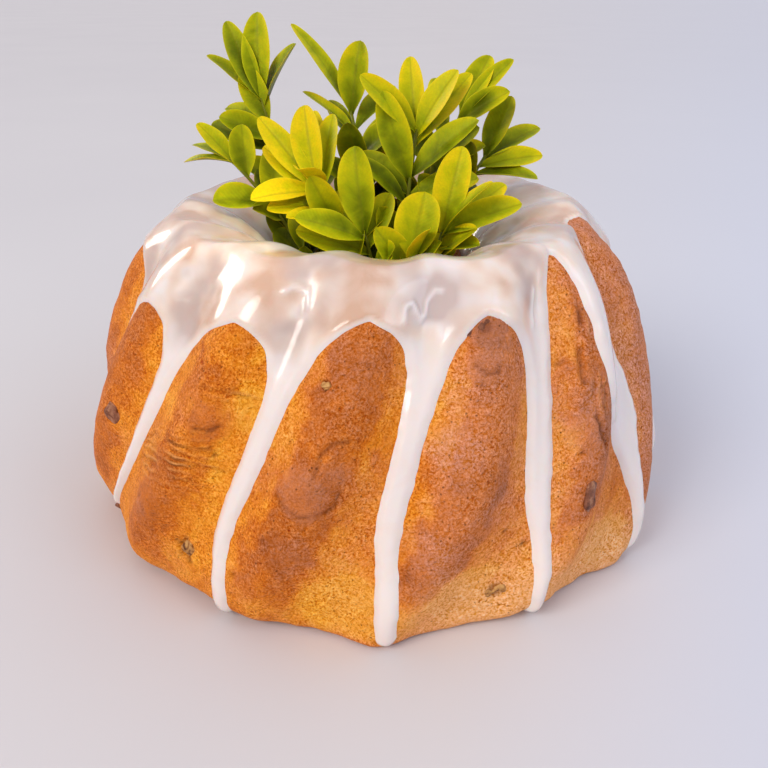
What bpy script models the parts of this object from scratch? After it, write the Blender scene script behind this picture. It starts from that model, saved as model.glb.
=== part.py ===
"""A fluted ring cake with a tuft of boxwood sprigs standing in its central hole.

Units are metres and +Z is up.  The origin is in the middle of the cake's flat base.
The cake is one solid: a turned ring whose wall carries swirled flutes.  Each sprig is
one solid too: a round stem with its leaf blades joined to it.
"""

import math

import bmesh
import bpy
from mathutils import Vector

MM = 0.001

# --- the cake's turned profile ---
BASE_RADIUS = 109.5 * MM        # outer edge of the flat base, halfway between ridge and groove
WIDEST_RADIUS = 112.0 * MM      # widest level of the wall
WIDEST_HEIGHT = 20.0 * MM
CREST_RADIUS = 74.0 * MM        # ring along the top of the cake
CREST_HEIGHT = 113.6 * MM
WALL_BULGE = 1.5                # exponents of the wall's rounded upper quarter
SHOULDER_BULGE = 1.18
FUNNEL_RADIUS = 33.0 * MM       # where the rounded top has become the hole's steep wall
FUNNEL_DEPTH = 46.2 * MM
HOLE_BASE_RADIUS = 23.0 * MM
BASE_EDGE_ROUNDING = 2.5 * MM

# --- its flutes ---
FLUTES = 14
COLUMNS_PER_FLUTE = 8
BASE_FLUTE = 2.6 * MM           # half the depth of a flute at the base, up the wall, on the crest
WALL_FLUTE = 3.6 * MM
CREST_FLUTE = 4.2 * MM
RIM_FLUTE = 0.9 * MM            # the rim of the hole is nearly smooth
HOLE_FLUTE = 0.6 * MM
CREST_CLIMB, RIM_CLIMB = 0.84, 1.04
RIDGE_COMPASS = 0.0             # degrees: one ridge ends at the front of the base
SWIRL = 25.0                    # degrees that a ridge turns from the base to the crest
EARLY_SWIRL = 14.0              # extra turn low on the wall, given back near the crest
RIDGE_SHARPNESS = 0.2           # second harmonic of the flutes: pointed ridges low down,
GROOVE_SHARPNESS = -0.12        # pointed grooves near the crest

# --- the rows of the mesh, as fractions of the way from base to crest and crest to hole ---
WALL_ROWS = 11
FUNNEL_ROWS = 5
HOLE_ROWS = 2

# --- the sprigs ---
STEM_RADIUS = 1.0 * MM
STEM_POINTS = 7
FOOT_HEIGHT = 2.0 * MM
LEAF_THICKNESS = 1.0 * MM
LEAF_FOLD = 0.22                # how far the edges stand up, as a share of the half width
LEAF_CURL = math.radians(22)    # a blade bends back by this much from base to tip
LEAF_STATIONS = (0.14, 0.40, 0.68, 0.92)
LEAF_NECK = 0.9 * MM            # half width where the blade leaves the stem
TOP_LEAF_SHARE = 0.995          # the top leaves start just inside the end of the stem
LIGHT = Vector((-0.3, -0.85, 0.45)).normalized()

# Each sprig has the foot (x, y) and tip (x, y, z) of its stem in millimetres, how late the
# stem leans over (1 is a straight stem) and its leaves from the tip down.  A leaf has its
# share of the way up the stem, compass direction (0 is the front, 90 the right), rise above
# level, length and width in millimetres, and how much the blade turns its face from its own
# stem towards the light at the front.
SPRIGS = {
    "sprig_back_left": {
        "foot": (-8, 2), "tip": (-45, 20, 150), "bend": 1.2, "colour": (0.20, 0.27, 0.02),
        "leaves": (
            (1.00, -105, 84, 31, 11, 1.0),
            (0.99, -105, 65, 32, 9, 0.8),
            (0.98, 75, 68, 26, 9, 0.5),
            (1.00, -110, 42, 28, 7, 0.3),
            (0.94, -95, 66, 22, 10, 0.9),
            (0.94, -118, 20, 22, 8, 0.4),
            (0.90, -75, 28, 22, 9, 0.8),
            (0.87, -100, 24, 30, 9, 0.8),
            (0.80, 150, 38, 22, 9, 0.4),
            (0.79, -55, 34, 20, 9, 0.6),
        ),
    },
    "sprig_far_left": {
        "foot": (-12, -5), "tip": (-55, 0, 131), "bend": 3.0, "colour": (0.22, 0.30, 0.02),
        "leaves": (
            (1.00, -118, 6, 24, 7, 0.3),
            (0.99, -128, 22, 24, 8, 0.4),
            (0.98, -110, 48, 22, 8, 0.6),
            (0.95, -30, 78, 19, 10, 0.9),
            (0.86, 0, 80, 25, 10, 0.9),
            (0.88, -62, 16, 21, 12, 0.5),
            (0.83, -42, 32, 14, 8, 0.5),
        ),
    },
    "sprig_left_front": {
        "foot": (-4, -12), "tip": (-22, -15, 124), "bend": 4.0, "colour": (0.50, 0.42, 0.02),
        "leaves": (
            (1.00, -135, 72, 30, 11, 1.0),
            (0.98, 160, 74, 29, 9, 1.0),
            (0.99, -112, 47, 35, 9, 0.8),
            (0.98, -106, 38, 28, 9, 0.8),
            (0.97, -160, 66, 33, 8, 0.8),
            (0.99, -65, 6, 25, 10, 0.5),
            (0.99, -22, 48, 18, 10, 0.3),
            (0.94, -60, 14, 23, 9, 0.5),
            (0.90, -42, 24, 22, 7, 0.4),
        ),
    },
    "sprig_front_left": {
        "foot": (3, -17), "tip": (-5, -21, 109), "bend": 4.0, "colour": (0.36, 0.38, 0.02),
        "leaves": (
            (1.00, -110, 80, 31, 13, 1.0),
            (0.98, -62, 28, 28, 10, 0.6),
            (0.93, -80, 24, 28, 11, 0.7),
            (0.95, 115, 72, 21, 10, 0.9),
            (0.89, -32, 24, 19, 9, 0.3),
            (0.89, 12, 28, 20, 9, 0.3),
        ),
    },
    "sprig_back_centre": {
        "foot": (-1, 5), "tip": (-11, 26, 145), "bend": 3.5, "colour": (0.18, 0.24, 0.02),
        "leaves": (
            (1.00, -115, 60, 36, 9, 0.7),
            (0.99, 60, 86, 27, 12, 1.0),
            (0.94, -98, 48, 26, 8, 0.6),
            (0.92, -142, 40, 26, 7, 0.5),
            (0.95, 122, 50, 25, 8, 0.7),
            (0.88, 45, 48, 21, 11, 0.7),
            (0.80, -60, 42, 22, 9, 0.6),
            (0.78, 15, 52, 20, 9, 0.6),
        ),
    },
    "sprig_centre": {
        "foot": (7, -11), "tip": (14, 1, 142), "bend": 3.0, "colour": (0.36, 0.38, 0.02),
        "leaves": (
            (1.00, -76, 48, 28, 9, 0.7),
            (0.99, -150, 74, 28, 9, 0.9),
            (0.98, 68, 66, 27, 10, 0.8),
            (0.96, 106, 54, 33, 10, 0.8),
            (0.87, -72, 70, 33, 11, 0.9),
            (0.88, 74, 48, 32, 11, 0.7),
            (0.81, -48, 50, 28, 8, 0.5),
            (0.76, 70, 44, 22, 9, 0.6),
            (0.72, -100, 40, 20, 8, 0.6),
        ),
    },
    "sprig_right_back": {
        "foot": (7, 2), "tip": (32, 20, 145), "bend": 3.5, "colour": (0.22, 0.30, 0.02),
        "leaves": (
            (1.00, 114, 66, 25, 10, 0.9),
            (0.99, 92, 53, 29, 8, 0.7),
            (0.97, 70, 40, 24, 10, 0.7),
            (0.92, -165, 56, 32, 8, 0.6),
            (0.90, 60, 44, 18, 10, 0.7),
            (0.83, 20, 45, 20, 10, 0.7),
            (0.80, 150, 40, 22, 9, 0.4),
        ),
    },
    "sprig_right_side": {
        "foot": (13, -4), "tip": (42, 17, 130), "bend": 3.5, "colour": (0.20, 0.27, 0.02),
        "leaves": (
            (1.00, 112, 70, 25, 10, 0.9),
            (0.99, 112, 30, 28, 9, 0.7),
            (0.97, 82, 18, 25, 9, 0.6),
            (0.95, 64, 12, 25, 9, 0.3),
            (0.90, 10, 84, 19, 10, 0.9),
            (0.84, 150, 30, 22, 9, 0.4),
        ),
    },
    "sprig_front_right": {
        "foot": (14, -13), "tip": (23, -22, 110), "bend": 3.0, "colour": (0.45, 0.45, 0.02),
        "leaves": (
            (1.00, 120, 80, 31, 12, 1.0),
            (0.99, 52, 62, 27, 8, 0.4),
            (0.98, 112, 40, 32, 10, 0.8),
            (1.00, 78, 30, 30, 11, 0.6),
            (0.94, 48, 26, 18, 8, 0.4),
        ),
    },
    "sprig_front": {
        "foot": (9, -18), "tip": (12, -28, 102), "bend": 3.0, "colour": (0.36, 0.38, 0.02),
        "leaves": (
            (1.00, 60, 84, 24, 15, 1.0),
            (0.97, 24, 64, 20, 8, 0.3),
        ),
    },
}

CRUST_COLOUR = (0.55, 0.22, 0.04)


def compass(angle_deg):
    """Level unit vector: 0 degrees points to the front (-Y), 90 to the right (+X)."""
    angle = math.radians(angle_deg)
    return Vector((math.sin(angle), -math.cos(angle), 0.0))


def make_material(name, colour, roughness):
    material = bpy.data.materials.new(name)
    material.use_nodes = True
    shader = material.node_tree.nodes["Principled BSDF"]
    shader.inputs["Base Color"].default_value = (*colour, 1.0)
    shader.inputs["Roughness"].default_value = roughness
    shader.inputs["Metallic"].default_value = 0.0
    return material


def blend(low, high, share):
    return low + (high - low) * min(max(share, 0.0), 1.0)


# ---------------------------------------------------------------- the cake


def wall_curve(steps=80):
    """Points (radius, height) of the outer wall, from the base's edge up to the crest."""
    points = []
    for step in range(steps // 4):
        share = step / (steps // 4)
        radius = blend(BASE_RADIUS, WIDEST_RADIUS, math.sin(share * math.pi / 2))
        points.append((radius, WIDEST_HEIGHT * share))
    for step in range(steps + 1):
        turn = math.pi / 2 * step / steps
        radius = CREST_RADIUS + (WIDEST_RADIUS - CREST_RADIUS) * max(math.cos(turn), 0.0) ** WALL_BULGE
        height = WIDEST_HEIGHT + (CREST_HEIGHT - WIDEST_HEIGHT) * math.sin(turn) ** SHOULDER_BULGE
        points.append((radius, height))
    return points


def along(points, share):
    """The point a share of the way along a line of points."""
    lengths = [math.dist(a, b) for a, b in zip(points, points[1:])]
    left = share * sum(lengths)
    for (start, end), length in zip(zip(points, points[1:]), lengths):
        if left <= length:
            part = left / length
            return tuple(a + (b - a) * part for a, b in zip(start, end))
        left -= length
    return points[-1]


def cake_rows():
    """Rows (radius, height, climb): climb is 0 at the base, 1 on the crest, 2 down the hole."""
    wall = wall_curve()
    rows = [(BASE_RADIUS - BASE_EDGE_ROUNDING, 0.0, 0.0)]
    for row in range(WALL_ROWS + 1):
        climb = blend(0.02, 1.0, row / WALL_ROWS)
        rows.append((*along(wall, climb), climb))
    for row in range(1, FUNNEL_ROWS + 1):
        turn = math.pi / 2 * row / FUNNEL_ROWS
        radius = CREST_RADIUS - (CREST_RADIUS - FUNNEL_RADIUS) * math.sin(turn)
        height = CREST_HEIGHT - FUNNEL_DEPTH * (1 - math.cos(turn))
        rows.append((radius, height, 1 + 0.6 * row / FUNNEL_ROWS))
    for row in range(1, HOLE_ROWS + 1):
        share = row / HOLE_ROWS
        radius = blend(FUNNEL_RADIUS, HOLE_BASE_RADIUS, share)
        height = blend(CREST_HEIGHT - FUNNEL_DEPTH, 0.0, share)
        rows.append((radius, height, 1.6 + 0.4 * share))
    return rows


def flute_depth(climb):
    """Half the depth of a flute at this level."""
    if climb < 0.4:
        return blend(BASE_FLUTE, WALL_FLUTE, climb / 0.4)
    if climb < CREST_CLIMB:
        return blend(WALL_FLUTE, CREST_FLUTE, (climb - 0.4) / (CREST_CLIMB - 0.4))
    if climb < RIM_CLIMB:
        return blend(CREST_FLUTE, RIM_FLUTE, (climb - CREST_CLIMB) / (RIM_CLIMB - CREST_CLIMB))
    return blend(RIM_FLUTE, HOLE_FLUTE, (climb - RIM_CLIMB) / (1.6 - RIM_CLIMB))


def ridge_turn(climb):
    """Degrees that the ridges have swirled round at this level."""
    up = min(climb, 1.0)
    return RIDGE_COMPASS + SWIRL * climb + EARLY_SWIRL * up * (1 - up)


def flute_offset(from_ridge, climb):
    """How far the surface stands out from the turned profile, this angle away from a ridge."""
    phase = FLUTES * from_ridge
    sharpness = blend(RIDGE_SHARPNESS, GROOVE_SHARPNESS, climb)
    return flute_depth(climb) * (math.cos(phase) + sharpness * math.cos(2 * phase))


def turn_profile(rows, name):
    """Spin a closed profile, outer side first, with a Screw modifier, and return the mesh."""
    crest = max(range(len(rows)), key=lambda row: rows[row][1])
    loop = rows[crest::-1] + rows[:crest:-1]
    mesh = bpy.data.meshes.new(name)
    points = [(radius, 0.0, height) for radius, height, climb in loop]
    edges = [(i, (i + 1) % len(points)) for i in range(len(points))]
    mesh.from_pydata(points, edges, [])
    profile = bpy.data.objects.new(name, mesh)
    bpy.context.scene.collection.objects.link(profile)
    screw = profile.modifiers.new("Screw", "SCREW")
    screw.steps = FLUTES * COLUMNS_PER_FLUTE
    screw.render_steps = screw.steps
    screw.use_merge_vertices = True
    screw.merge_threshold = 0.0001
    depsgraph = bpy.context.evaluated_depsgraph_get()
    turned = bpy.data.meshes.new_from_object(profile.evaluated_get(depsgraph))
    bpy.data.objects.remove(profile)
    return turned


def climb_at(rows, radius, height):
    """The climb of the profile row that a turned vertex lies on."""
    nearest = min(rows, key=lambda row: math.dist((radius, height), row[:2]))
    return nearest[2]


def make_cake(collection):
    rows = cake_rows()
    mesh = turn_profile(rows, "cake")
    for vertex in mesh.vertices:
        from_ridge = math.atan2(vertex.co.x, -vertex.co.y)
        radius = math.hypot(vertex.co.x, vertex.co.y)
        climb = climb_at(rows, radius, vertex.co.z)
        outward = compass(math.degrees(from_ridge) + ridge_turn(climb))
        fluted = radius + flute_offset(from_ridge, climb)
        vertex.co.xy = (outward * fluted).xy
    cake = bpy.data.objects.new("cake", mesh)
    mesh.materials.append(make_material("baked_crust", CRUST_COLOUR, 0.75))
    mesh.shade_smooth()
    collection.objects.link(cake)
    return cake


# ---------------------------------------------------------------- the sprigs


def stem_point(plan, share):
    """A stem stands up straight from its foot and leans over towards its tip."""
    lean = share ** plan["bend"]
    foot_x, foot_y = plan["foot"]
    tip_x, tip_y, tip_z = plan["tip"]
    return Vector((
        blend(foot_x, tip_x, lean) * MM,
        blend(foot_y, tip_y, lean) * MM,
        blend(FOOT_HEIGHT, tip_z * MM, share),
    ))


def make_stem(name, plan):
    """A round stem as a bevelled curve, with more points where it leans over."""
    curve = bpy.data.curves.new(name, "CURVE")
    curve.dimensions = "3D"
    curve.bevel_depth = STEM_RADIUS
    curve.bevel_resolution = 1
    curve.use_fill_caps = True
    spline = curve.splines.new("POLY")
    spline.points.add(STEM_POINTS - 1)
    for index, point in enumerate(spline.points):
        share = (index / (STEM_POINTS - 1)) ** 0.6
        point.co = (*stem_point(plan, share), 1.0)
    stem = bpy.data.objects.new(name, curve)
    bpy.context.scene.collection.objects.link(stem)
    depsgraph = bpy.context.evaluated_depsgraph_get()
    mesh = bpy.data.meshes.new_from_object(stem.evaluated_get(depsgraph))
    weld = bmesh.new()
    weld.from_mesh(mesh)
    bmesh.ops.remove_doubles(weld, verts=weld.verts, dist=0.00001)
    weld.to_mesh(mesh)
    weld.free()
    bpy.data.objects.remove(stem)
    return mesh


def leaf_half_width(share, width):
    """Spoon-shaped blade: narrow at the base, widest past the middle, with a rounded tip."""
    return max(width / 2 * math.sin(math.pi * share ** 1.25) ** 0.75, LEAF_NECK)


def leaf_axes(direction_deg, rise_deg, to_light):
    """Unit vectors along a blade, out of its upper face and across it."""
    rise = math.radians(rise_deg)
    outward = compass(direction_deg)
    ahead = outward * math.cos(rise) + Vector((0, 0, math.sin(rise)))
    inward_face = Vector((0, 0, math.cos(rise))) - outward * math.sin(rise)
    lit_face = (LIGHT - ahead * LIGHT.dot(ahead)).normalized()
    face = inward_face.lerp(lit_face, to_light).normalized()
    return ahead, face, ahead.cross(face)


def make_leaf(base, direction_deg, rise_deg, length, width, to_light):
    """A thin folded blade lofted from lozenge sections, closed at both ends."""
    ahead, face, side = leaf_axes(direction_deg, rise_deg, to_light)

    leaf = bmesh.new()
    heel = leaf.verts.new(base - ahead * STEM_RADIUS * 0.5)
    rings = []
    for share in LEAF_STATIONS:
        bend = LEAF_CURL * share
        middle = base + ahead * (length * share) - face * (length * share * math.sin(bend) / 2)
        half = leaf_half_width(share, width)
        edge_lift = face * (half * LEAF_FOLD)
        thick = face * (LEAF_THICKNESS / 2)
        ring = (
            middle - side * half + edge_lift,
            middle - thick,
            middle + side * half + edge_lift,
            middle + thick,
        )
        rings.append([leaf.verts.new(point) for point in ring])
    end = leaf.verts.new(base + ahead * length - face * (length * math.sin(LEAF_CURL) / 2))
    for index in range(4):
        follow = (index + 1) % 4
        leaf.faces.new((heel, rings[0][index], rings[0][follow]))
        for lower, upper in zip(rings, rings[1:]):
            leaf.faces.new((lower[index], upper[index], upper[follow], lower[follow]))
        leaf.faces.new((rings[-1][index], end, rings[-1][follow]))
    bmesh.ops.triangulate(leaf, faces=leaf.faces)
    bmesh.ops.recalc_face_normals(leaf, faces=leaf.faces)
    mesh = bpy.data.meshes.new("leaf")
    leaf.to_mesh(mesh)
    leaf.free()
    return mesh


def join_solids(name, meshes):
    """Union of closed meshes, one after another, as a new mesh."""
    body = bpy.data.objects.new(name, meshes[0])
    bpy.context.scene.collection.objects.link(body)
    for mesh in meshes[1:]:
        tool = bpy.data.objects.new(name + "_tool", mesh)
        bpy.context.scene.collection.objects.link(tool)
        union = body.modifiers.new("Union", "BOOLEAN")
        union.operation = "UNION"
        union.solver = "EXACT"
        union.object = tool
        depsgraph = bpy.context.evaluated_depsgraph_get()
        joined = bpy.data.meshes.new_from_object(body.evaluated_get(depsgraph))
        body.modifiers.remove(union)
        body.data = joined
        bpy.data.objects.remove(tool)
    result = body.data
    bpy.data.objects.remove(body)
    return result


def make_sprig(name, plan, collection):
    solids = [make_stem(name, plan)]
    for share, direction, rise, length, width, to_light in plan["leaves"]:
        base = stem_point(plan, min(share, TOP_LEAF_SHARE))
        solids.append(make_leaf(base, direction, rise, length * MM, width * MM, to_light))
    mesh = join_solids(name, solids)
    mesh.materials.clear()
    mesh.materials.append(make_material(name + "_leaves", plan["colour"], 0.45))
    sprig = bpy.data.objects.new(name, mesh)
    collection.objects.link(sprig)
    return sprig


def main():
    for existing in list(bpy.data.objects):
        bpy.data.objects.remove(existing)
    parts = bpy.data.collections.new("ring_cake")
    bpy.context.scene.collection.children.link(parts)
    make_cake(parts)
    for name, plan in SPRIGS.items():
        make_sprig(name, plan, parts)


main()
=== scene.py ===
"""Looks for the glazed ring cake: crust, sugar glaze, raisins and nuts, and the leafy sprigs.

Everything is built from named sizes in metres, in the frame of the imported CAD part.
Azimuth 0 is the front (-Y) and 90 the right (+X).  The climb of a point on the cake is 0 at
the base's edge, 1 on the crest and 2 at the foot of the central hole.
"""

import math
from collections import namedtuple

import bmesh
import bpy
import numpy as np
from mathutils import Matrix, Vector


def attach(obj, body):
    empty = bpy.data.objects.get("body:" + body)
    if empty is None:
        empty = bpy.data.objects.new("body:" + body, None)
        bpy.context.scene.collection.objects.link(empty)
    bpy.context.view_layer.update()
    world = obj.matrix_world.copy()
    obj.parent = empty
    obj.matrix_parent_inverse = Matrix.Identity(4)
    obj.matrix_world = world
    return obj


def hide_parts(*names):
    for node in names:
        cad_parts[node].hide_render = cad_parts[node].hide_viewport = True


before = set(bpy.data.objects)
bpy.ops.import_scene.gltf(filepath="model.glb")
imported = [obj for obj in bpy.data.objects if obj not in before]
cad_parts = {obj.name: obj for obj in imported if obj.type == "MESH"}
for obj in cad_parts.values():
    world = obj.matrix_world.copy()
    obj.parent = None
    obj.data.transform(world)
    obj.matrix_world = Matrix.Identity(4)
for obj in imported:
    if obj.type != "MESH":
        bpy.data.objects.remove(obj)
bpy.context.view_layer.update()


MM = 0.001

# --- the cake's profile and flutes, as in the CAD part ---
BASE_RADIUS = 109.5 * MM
WIDEST_RADIUS = 112.0 * MM
WIDEST_HEIGHT = 20.0 * MM
CREST_RADIUS = 74.0 * MM
CREST_HEIGHT = 113.6 * MM
WALL_BULGE = 1.5
SHOULDER_BULGE = 1.18
FUNNEL_RADIUS = 33.0 * MM
FUNNEL_DEPTH = 46.2 * MM
FUNNEL_CLIMB = 1.6  # climb where the rounded top has become the hole's wall
HOLE_BASE_RADIUS = 23.0 * MM
# azimuth, millimetres: how far the lower edge is rounded under; a soft cake is uneven
EDGE_ROUNDINGS = (
    (-180, 6), (-150, 3.5), (-120, 8), (-90, 5), (-66, 6), (-50, 8.5), (-27, 9), (-12, 4.5), (0, 2.5),
    (13, 4), (26, 8.5), (40, 3.5), (57, 3), (75, 6), (100, 4), (130, 8), (155, 4),
)
EDGE_HEIGHT = 26 * MM  # up to here a rounded edge flattens the flutes, the more the rounder it is
EDGE_FLATTENING = 0.65
LITTLE_ROUNDED, MUCH_ROUNDED = 3 * MM, 9 * MM
FLUTES = 14
FLUTE_DEG = 360.0 / FLUTES
# climb, half the depth of a flute in millimetres; 1.04 is where the top turns down into the hole
FLUTE_DEPTHS = ((0, 2.6), (0.4, 3.6), (0.84, 4.2), (1.04, 0.9), (FUNNEL_CLIMB, 0.6))
SWIRL = 25.0
EARLY_SWIRL = 14.0
MIDDLE_SWIRL = 15.0  # about how far round a ridge is, halfway up
RIDGE_SHARPNESS = 0.2
GROOVE_SHARPNESS = -0.12

# --- meshes: finer at the front than behind ---
FRONT_STEP = 0.85 * MM
CRUST_BACK_STEP = 2.0 * MM
GLAZE_BACK_STEP = 1.35 * MM
FRONT_ENDS = (95, 115)  # degrees from the front between which the steps widen
CRUST_ROW_STEP = 1.05 * MM
GLAZE_ROW_STEP = 0.95 * MM


# --- small helpers ---


def blend(low, high, share):
    return low + (high - low) * np.clip(share, 0.0, 1.0)


def smooth(start, end, value):
    """0 before start, 1 past end, and a smooth step between; it may run downwards too."""
    share = np.clip((value - start) / (end - start), 0.0, 1.0)
    return share * share * (3 - 2 * share)


def smooth_max(a, b, width):
    """The larger of a and b, with the corner where they meet rounded over this width."""
    share = np.clip(0.5 + 0.5 * (a - b) / width, 0.0, 1.0)
    return b + (a - b) * share + width * share * (1 - share)


def bump_at(distance, radius):
    """A soft round bump: 1 in the middle, 0 from the radius on."""
    share = np.clip(1 - (distance / radius) ** 2, 0.0, 1.0)
    return share * share


def bell(distance, width):
    """A bump that fades without end, as across a crease."""
    return np.exp(-((distance / width) ** 2))


def look_up(table, value, period=None):
    """The second number of a table's rows at a value of the first, with straight lines between."""
    return np.interp(value, *zip(*table), period=period)


def unit(vectors):
    return vectors / np.maximum(np.linalg.norm(vectors, axis=-1, keepdims=True), 1e-12)


def noise(points, lump, seed):
    """Smooth value noise from -1 to 1 at an array of points; lump is its size in millimetres."""
    size = 32
    table = np.random.default_rng(seed).uniform(-1, 1, (size, size, size))
    grid = points / (lump * MM) + 100.5
    cell = np.floor(grid).astype(int)
    part = grid - cell
    part = part * part * part * (part * (part * 6 - 15) + 10)
    total = np.zeros(grid.shape[:-1])
    for corner in range(8):
        shift = np.array([corner & 1, corner >> 1 & 1, corner >> 2 & 1])
        weight = np.prod(np.where(shift == 1, part, 1 - part), axis=-1)
        index = (cell + shift) % size
        total += weight * table[index[..., 0], index[..., 1], index[..., 2]]
    return total


def turned(points, angle):
    """Points turned about the vertical axis, so that two noises don't share a grid."""
    c, s = math.cos(angle), math.sin(angle)
    x, y, z = points[..., 0], points[..., 1], points[..., 2]
    return np.stack([x * c - y * s, x * s + y * c, z], axis=-1)


# --- the cake's surface ---


def wall_profile(steps=400):
    """Radius, height and climb of the outer wall from the base's edge to the crest, and its length."""
    low = np.linspace(0, 1, steps // 4, endpoint=False)
    turn = np.linspace(0, math.pi / 2, steps)
    radius = np.concatenate([
        BASE_RADIUS + (WIDEST_RADIUS - BASE_RADIUS) * np.sin(low * math.pi / 2),
        CREST_RADIUS + (WIDEST_RADIUS - CREST_RADIUS) * np.maximum(np.cos(turn), 0) ** WALL_BULGE,
    ])
    height = np.concatenate([
        WIDEST_HEIGHT * low,
        WIDEST_HEIGHT + (CREST_HEIGHT - WIDEST_HEIGHT) * np.sin(turn) ** SHOULDER_BULGE,
    ])
    run = np.concatenate([[0], np.cumsum(np.hypot(np.diff(radius), np.diff(height)))])
    return radius, height, run / run[-1], run[-1]


WALL_R, WALL_Z, WALL_C, WALL_LENGTH = wall_profile()


def profile(climb):
    """Radius and height of the turned profile at each climb from 0 to 2."""
    climb = np.asarray(climb, float)
    turn = np.clip((climb - 1) / (FUNNEL_CLIMB - 1), 0, 1) * math.pi / 2
    down = (climb - FUNNEL_CLIMB) / (2 - FUNNEL_CLIMB)
    stretch = [climb > FUNNEL_CLIMB, climb > 1]
    radius = np.select(stretch, [
        blend(FUNNEL_RADIUS, HOLE_BASE_RADIUS, down),
        CREST_RADIUS - (CREST_RADIUS - FUNNEL_RADIUS) * np.sin(turn),
    ], np.interp(climb, WALL_C, WALL_R))
    height = np.select(stretch, [
        blend(CREST_HEIGHT - FUNNEL_DEPTH, 0.0, down),
        CREST_HEIGHT - FUNNEL_DEPTH * (1 - np.cos(turn)),
    ], np.interp(climb, WALL_C, WALL_Z))
    return radius, height


def ridge_turn(climb):
    """Degrees that the ridges have swirled round at this climb."""
    up = np.minimum(climb, 1.0)
    return SWIRL * climb + EARLY_SWIRL * up * (1 - up)


def flute_offset(from_ridge, climb):
    """How far a flute stands out; from_ridge is in radians."""
    phase = FLUTES * from_ridge
    sharpness = blend(RIDGE_SHARPNESS, GROOVE_SHARPNESS, climb)
    return look_up(FLUTE_DEPTHS, climb) * MM * (np.cos(phase) + sharpness * np.cos(2 * phase))


def fluted_points(from_ridge, climb):
    """Points of the fluted surface, and their azimuth in degrees."""
    radius, height = profile(climb)
    azimuth = from_ridge + np.radians(ridge_turn(climb))
    rounding = look_up(EDGE_ROUNDINGS, np.degrees(azimuth), 360) * MM
    low = 1 - smooth(0.0, EDGE_HEIGHT, height)
    flat = low * EDGE_FLATTENING * smooth(LITTLE_ROUNDED, MUCH_ROUNDED, rounding)
    under = np.where(climb < 1, np.clip(1 - height / rounding, 0, 1), 0)
    inset = rounding * (1 - np.sqrt(1 - under * under))
    radius = radius + flute_offset(from_ridge, climb) * np.where(climb < 1, 1 - flat, 1) - inset
    points = np.stack([radius * np.sin(azimuth), -radius * np.cos(azimuth), height + 0 * azimuth], axis=-1)
    return points, (np.degrees(azimuth) + 180) % 360 - 180


def grid_normals(points, closed_rows):
    """Outward normals of a grid of points whose columns go round the cake."""
    across = np.roll(points, -1, axis=1) - np.roll(points, 1, axis=1)
    if closed_rows:
        along = np.roll(points, -1, axis=0) - np.roll(points, 1, axis=0)
    else:
        along = np.gradient(points, axis=0)
    return unit(np.cross(across, along))


# --- marks on the crust ---

# Each mark but a crease starts with its azimuth and climb.  Those beyond 80 are on the hidden sides.
# reach, rise (mm): blisters of smooth skin
BLISTERS = (
    (-11.5, 0.455, 8.5, 0.9), (-8.2, 0.5, 6.5, 0.7), (-30, 0.57, 8, 0.25), (-42, 0.31, 9, 0.4),
    (22, 0.82, 7, 0.7), (19, 0.75, 6, 0.5), (38, 0.52, 8, 0.6), (140, 0.5, 12, 0.8), (-150, 0.34, 10, 0.7),
    (-101, 0.55, 9, 0.6), (92, 0.3, 8, 0.6),
)
# reach (mm), change: patches that are browner (above 0) or more golden; those at (14, 0.14) and (36, 0.2),
# low on the front right, are painted light reflected up from below
TONED = (
    (-10.5, 0.47, 10, 0.08), (-31, 0.57, 6, 0.14), (-27, 0.8, 11, -0.24), (-47, 0.24, 12, 0.12),
    (-44, 0.6, 9, -0.06), (-36, 0.13, 10, -0.14), (-22, 0.62, 7, -0.16), (-18, 0.8, 9, -0.08),
    (-5, 0.11, 15, -0.2), (-14, 0.28, 9, 0.14), (-20, 0.29, 7, 0.2), (-30, 0.445, 6, -0.1),
    (10, 0.7, 8, -0.24), (8, 0.54, 6, -0.04), (14, 0.14, 12, -0.5), (10, 0.485, 6, 0.12),
    (9, 0.3, 8, -0.08), (23, 0.2, 8, -0.12), (21, 0.38, 8, 0.14), (21.5, 0.84, 6, 0.4), (33, 0.46, 8, -0.1),
    (36, 0.2, 13, -0.44), (47, 0.14, 10, -0.36), (38, 0.62, 9, 0.24), (45, 0.5, 8, 0.16),
    (60, 0.42, 9, 0.02), (64, 0.75, 9, 0.1), (92, 0.3, 9, 0.2), (105, 0.2, 12, -0.22), (125, 0.6, 11, 0.16),
    (140, 0.16, 12, -0.22), (166, 0.55, 12, -0.18), (-168, 0.4, 11, 0.2), (-150, 0.14, 13, -0.22),
    (-130, 0.62, 11, 0.16), (-110, 0.3, 12, -0.16), (-88, 0.55, 9, 0.12),
)
# reach (mm), change: patches that are pinker (above 0) or less pink
ROSY = (
    (13.5, 0.56, 8, 0.34), (8.5, 0.32, 8, 0.36), (16.5, 0.74, 6, 0.12), (-13, 0.27, 8, 0.15),
    (9.8, 0.62, 5, -0.35), (7.4, 0.48, 5, -0.35), (4.8, 0.38, 4, -0.3), (12.5, 0.74, 5, -0.25),
    (-86, 0.5, 12, 0.4), (-150, 0.4, 14, 0.5), (172, 0.6, 12, 0.4),
)
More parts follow.
